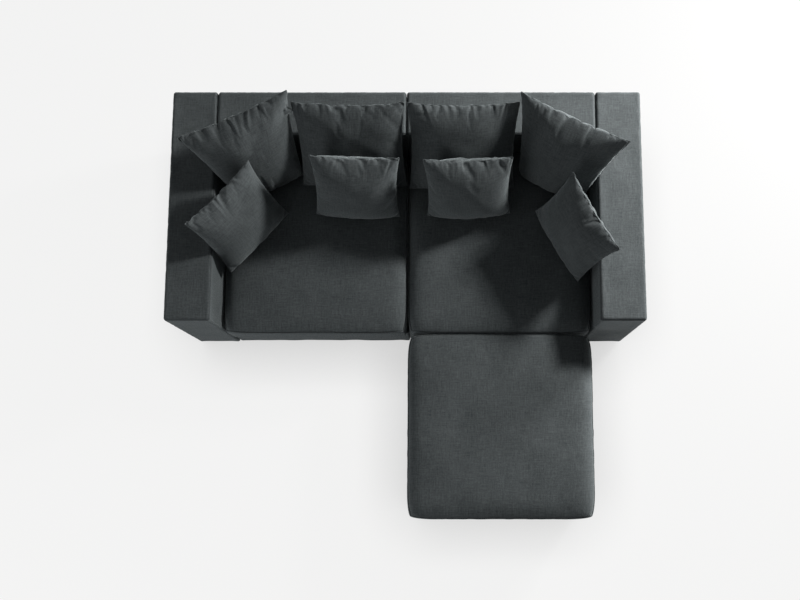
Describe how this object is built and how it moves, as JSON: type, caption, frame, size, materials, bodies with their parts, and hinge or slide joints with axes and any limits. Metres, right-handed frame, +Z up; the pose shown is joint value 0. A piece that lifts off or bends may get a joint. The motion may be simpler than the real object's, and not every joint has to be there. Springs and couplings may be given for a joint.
{
  "type": "modular sofa",
  "caption": "Low modular sofa with separable seats, arms, backs and an ottoman, and loose seat, back and scatter cushions.",
  "frame": {"origin": "on the floor, under the middle of the whole set's outline", "axes": "+X along the sofa to the right of someone facing its front, +Y to its back, +Z up"},
  "size_m": [2.4046, 2.1852, 0.8889],
  "materials": {
    "upholstery_fabric": "matte",
    "cushion_fabric": "matte",
    "webbing": "matte",
    "foam": "matte",
    "wood": "satin",
    "black_plastic": "satin",
    "steel": "satin"
  },
  "bodies": {
    "left_seat": {"left_seat_frame": "wood", "left_seat_webbing": "webbing", "left_seat_deck_pad": "foam", "left_seat_base_cover": "upholstery_fabric", "left_seat_underside": "black_plastic", "left_seat_catch_plate_for_left_arm": "steel", "left_seat_catch_plate_for_left_back": "steel", "left_seat_catch_plate_for_right_seat": "steel"},
    "right_seat": {"right_seat_frame": "wood", "right_seat_webbing": "webbing", "right_seat_deck_pad": "foam", "right_seat_base_cover": "upholstery_fabric", "right_seat_underside": "black_plastic", "right_seat_catch_plate_for_right_arm": "steel", "right_seat_catch_plate_for_right_back": "steel", "right_seat_snap_tongue": "steel"},
    "left_arm": {"left_arm_frame": "wood", "left_arm_top_pad": "foam", "left_arm_cover": "upholstery_fabric", "left_arm_underside": "black_plastic", "left_arm_snap_tongue": "steel"},
    "right_arm": {"right_arm_frame": "wood", "right_arm_top_pad": "foam", "right_arm_cover": "upholstery_fabric", "right_arm_underside": "black_plastic", "right_arm_snap_tongue": "steel"},
    "left_back": {"left_back_frame": "wood", "left_back_top_pad": "foam", "left_back_cover": "upholstery_fabric", "left_back_underside": "black_plastic", "left_back_snap_tongue": "steel"},
    "right_back": {"right_back_frame": "wood", "right_back_top_pad": "foam", "right_back_cover": "upholstery_fabric", "right_back_underside": "black_plastic", "right_back_snap_tongue": "steel"},
    "ottoman": {"ottoman_frame": "wood", "ottoman_webbing": "webbing", "ottoman_deck_pad": "foam", "ottoman_base_cover": "upholstery_fabric", "ottoman_underside": "black_plastic"},
    "left_seat_cushion_body": {"left_seat_cushion": "upholstery_fabric"},
    "right_seat_cushion_body": {"right_seat_cushion": "upholstery_fabric"},
    "ottoman_cushion_body": {"ottoman_cushion": "upholstery_fabric"},
    "left_back_cushion_body": {"left_back_cushion": "cushion_fabric"},
    "left_corner_cushion_body": {"left_corner_cushion": "cushion_fabric"},
    "left_middle_cushion_body": {"left_middle_cushion": "cushion_fabric"},
    "left_side_cushion_body": {"left_side_cushion": "cushion_fabric"},
    "right_back_cushion_body": {"right_back_cushion": "cushion_fabric"},
    "right_corner_cushion_body": {"right_corner_cushion": "cushion_fabric"},
    "right_middle_cushion_body": {"right_middle_cushion": "cushion_fabric"},
    "right_side_cushion_body": {"right_side_cushion": "cushion_fabric"}
  },
  "joints": [
    {"name": "right_seat_slide", "type": "slide", "parent": "left_seat", "child": "right_seat", "axis": [1, 0, 0], "range_m": [0, 0.5]},
    {"name": "left_arm_slide", "type": "slide", "parent": "left_seat", "child": "left_arm", "axis": [-1, 0, 0], "range_m": [0, 0.3]},
    {"name": "right_arm_slide", "type": "slide", "parent": "right_seat", "child": "right_arm", "axis": [1, 0, 0], "range_m": [0, 0.3]},
    {"name": "left_back_slide", "type": "slide", "parent": "left_seat", "child": "left_back", "axis": [0, 1, 0], "range_m": [0, 0.3]},
    {"name": "right_back_slide", "type": "slide", "parent": "right_seat", "child": "right_back", "axis": [0, 1, 0], "range_m": [0, 0.3]},
    {"name": "ottoman_slide", "type": "slide", "parent": "left_seat", "child": "ottoman", "axis": [0, -1, 0], "range_m": [0, 0.6]},
    {"name": "left_seat_cushion_lift", "type": "slide", "parent": "left_seat", "child": "left_seat_cushion_body", "axis": [0, 0, 1], "range_m": [0, 0.3]},
    {"name": "right_seat_cushion_lift", "type": "slide", "parent": "right_seat", "child": "right_seat_cushion_body", "axis": [0, 0, 1], "range_m": [0, 0.3]},
    {"name": "ottoman_cushion_lift", "type": "slide", "parent": "ottoman", "child": "ottoman_cushion_body", "axis": [0, 0, 1], "range_m": [0, 0.3]},
    {"name": "left_back_cushion_lift", "type": "slide", "parent": "left_seat_cushion_body", "child": "left_back_cushion_body", "axis": [0, 0, 1], "range_m": [0, 0.3]},
    {"name": "left_corner_cushion_lift", "type": "slide", "parent": "left_seat_cushion_body", "child": "left_corner_cushion_body", "axis": [0, 0, 1], "range_m": [0, 0.3]},
    {"name": "left_middle_cushion_lift", "type": "slide", "parent": "left_back_cushion_body", "child": "left_middle_cushion_body", "axis": [0, 0, 1], "range_m": [0, 0.3]},
    {"name": "left_side_cushion_lift", "type": "slide", "parent": "left_corner_cushion_body", "child": "left_side_cushion_body", "axis": [0, 0, 1], "range_m": [0, 0.3]},
    {"name": "right_back_cushion_lift", "type": "slide", "parent": "right_seat_cushion_body", "child": "right_back_cushion_body", "axis": [0, 0, 1], "range_m": [0, 0.3]},
    {"name": "right_corner_cushion_lift", "type": "slide", "parent": "right_seat_cushion_body", "child": "right_corner_cushion_body", "axis": [0, 0, 1], "range_m": [0, 0.3]},
    {"name": "right_middle_cushion_lift", "type": "slide", "parent": "right_back_cushion_body", "child": "right_middle_cushion_body", "axis": [0, 0, 1], "range_m": [0, 0.3]},
    {"name": "right_side_cushion_lift", "type": "slide", "parent": "right_corner_cushion_body", "child": "right_side_cushion_body", "axis": [0, 0, 1], "range_m": [0, 0.3]}
  ]
}
